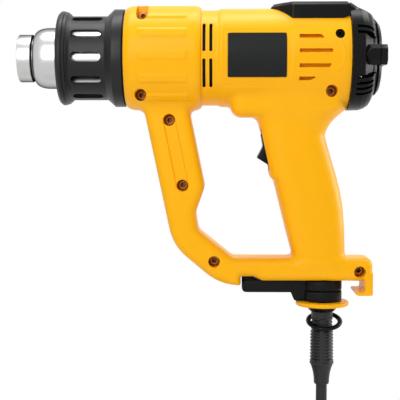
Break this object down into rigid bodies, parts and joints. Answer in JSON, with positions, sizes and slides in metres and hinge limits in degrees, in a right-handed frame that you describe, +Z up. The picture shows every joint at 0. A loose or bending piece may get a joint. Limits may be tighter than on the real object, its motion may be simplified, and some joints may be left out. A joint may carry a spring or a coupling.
{
  "type": "hot air tool",
  "caption": "Hot air tool: blower barrel with slotted shroud and steel nozzle, loop handle with rocker switch, rear temperature dial, swivel stand, hanging ring and mains lead.",
  "frame": {"origin": "middle of the grip, on the tool's middle plane", "axes": "-X towards the nozzle along the barrel, +Z up from the handle to the barrel, Y across the tool with the tool's left side at -Y"},
  "size_m": [0.2507, 0.1636, 0.3278],
  "materials": {
    "yellow_housing": "fine satin moulding",
    "black_gloss": "glossy moulding",
    "black_satin": "satin heat resistant moulding",
    "black_rubber": "matt",
    "bright_steel": "polished",
    "dark_steel": "oiled",
    "insulator": "ceramic and mica, matt",
    "heater_wire": "oxidised resistance wire",
    "light_metal": "as cut",
    "board": "coated laminate",
    "grey_plastic": "plain moulding",
    "contact_brass": "plain"
  },
  "bodies": {
    "body": {"housing_left": "yellow_housing", "housing_right": "yellow_housing", "retaining_ring": "yellow_housing", "rear_cap": "black_gloss", "top_cover": "black_gloss", "switch_frame": "black_gloss", "cap_screw_left": "black_gloss", "cap_screw_right": "black_gloss", "gland_collar": "black_gloss", "capacitor": "black_gloss", "front_shroud": "black_satin", "label_left": "black_satin", "label_right": "black_satin", "stand_hub": "black_satin", "fan_duct": "black_satin", "motor_mount_front": "black_satin", "motor_mount_rear": "black_satin", "cord_clamp": "black_satin", "cord_sleeve": "black_rubber", "cord": "black_rubber", "cord_coil": "black_rubber", "plug_body": "black_rubber", "cord_tie": "black_rubber", "nozzle_tube": "bright_steel", "temperature_probe": "bright_steel", "clamp_screw_front": "bright_steel", "clamp_screw_rear": "bright_steel", "housing_screw_1": "dark_steel", "housing_screw_2": "dark_steel", "housing_screw_3": "dark_steel", "housing_screw_4": "dark_steel", "housing_screw_5": "dark_steel", "housing_screw_6": "dark_steel", "housing_screw_7": "dark_steel", "heater_sleeve": "insulator", "heater_core": "insulator", "heater_coil": "heater_wire", "heater_flange": "light_metal", "motor": "light_metal", "heat_sink": "light_metal", "control_board": "board", "potentiometer": "grey_plastic", "switch_module": "grey_plastic", "terminal_block": "grey_plastic", "plug_blade_left": "contact_brass", "plug_blade_right": "contact_brass", "plug_earth_pin": "contact_brass"},
    "rocker_body": {"rocker": "black_gloss"},
    "dial": {"temperature_dial": "black_gloss", "potentiometer_shaft": "bright_steel"},
    "stand": {"support_stand": "black_satin"},
    "ring": {"hanging_ring": "black_gloss"},
    "rotor": {"fan": "black_satin", "motor_shaft": "bright_steel"}
  },
  "joints": [
    {"name": "rocker_rock", "type": "hinge", "parent": "body", "child": "rocker_body", "pos_m": [-0.0265, 0, 0.0285], "axis": [0, -1, 0], "range_deg": [0, 16]},
    {"name": "dial_turn", "type": "hinge", "parent": "body", "child": "dial", "pos_m": [0.0475, 0, 0.0915], "axis": [1, 0, 0], "range_deg": [-135, 135]},
    {"name": "stand_swing", "type": "hinge", "parent": "body", "child": "stand", "pos_m": [0.0115, 0, -0.066], "axis": [0, 0, 1], "range_deg": [-120, 120]},
    {"name": "ring_swing", "type": "hinge", "parent": "body", "child": "ring", "pos_m": [0.0131, 0.01043, -0.0882], "axis": [-1, 0, 0], "range_deg": [0, 20]},
    {"name": "fan_spin", "type": "hinge", "parent": "body", "child": "rotor", "pos_m": [-0.06, 0, 0.0915], "axis": [1, 0, 0], "continuous": true}
  ]
}
